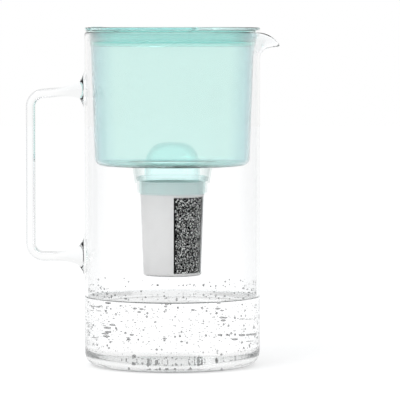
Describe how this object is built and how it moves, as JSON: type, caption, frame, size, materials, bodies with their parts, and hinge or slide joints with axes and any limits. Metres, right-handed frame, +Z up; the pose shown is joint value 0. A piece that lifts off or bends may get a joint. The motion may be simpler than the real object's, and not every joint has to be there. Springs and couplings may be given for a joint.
{
  "type": "water filter pitcher",
  "caption": "Straight glass jug with a fused bow handle and drooping spout, holding a mint hopper with a drop-in filter cartridge under a round lid with a flip-up fill flap.",
  "frame": {"origin": "middle of the jug's base, on the table", "axes": "+Z up along the jug's axis, +X towards the spout, -X towards the handle, +Y away from the picture's camera"},
  "size_m": [0.2024, 0.14, 0.2705],
  "materials": {
    "glass": "clear polished glass, fire-smooth edges",
    "mint_plastic": "translucent mint, satin inside and out",
    "lid_plastic": "translucent mint, fine satin",
    "pale_plastic": "nearly clear, faint mint tint",
    "silicone": "translucent pale grey silicone",
    "white_plastic": "white, fine satin",
    "clear_plastic": "clear, polished",
    "filter_media": "black, white and grey granules",
    "fleece": "white non-woven fleece and fine mesh",
    "steel": "stainless, drawn"
  },
  "bodies": {
    "jug": {"jug_glass": "glass", "handle_boss_upper": "glass", "handle_boss_lower": "glass", "handle_bow": "glass"},
    "hopper": {"hopper": "mint_plastic", "hopper_seal": "silicone", "filter_socket": "pale_plastic"},
    "cartridge": {"cartridge_cap": "mint_plastic", "cartridge_seal": "silicone", "cartridge_body": "white_plastic", "media_window": "clear_plastic", "media_bed": "filter_media", "upper_fleece": "fleece", "lower_fleece": "fleece", "inlet_screen": "fleece", "outlet_grille": "white_plastic"},
    "lid": {"lid_frame": "lid_plastic", "hinge_pin": "steel"},
    "flap": {"lid_flap": "lid_plastic"}
  },
  "joints": [
    {"name": "hopper_lift", "type": "slide", "parent": "jug", "child": "hopper", "axis": [0, 0, 1], "range_m": [0, 0.2]},
    {"name": "cartridge_lift", "type": "slide", "parent": "hopper", "child": "cartridge", "axis": [0, 0, 1], "range_m": [0, 0.08]},
    {"name": "lid_lift", "type": "slide", "parent": "hopper", "child": "lid", "axis": [0, 0, 1], "range_m": [0, 0.04]},
    {"name": "flap_hinge", "type": "hinge", "parent": "lid", "child": "flap", "pos_m": [0.014, 0, 0.2677], "axis": [0, 1, 0], "range_deg": [0, 100]}
  ]
}
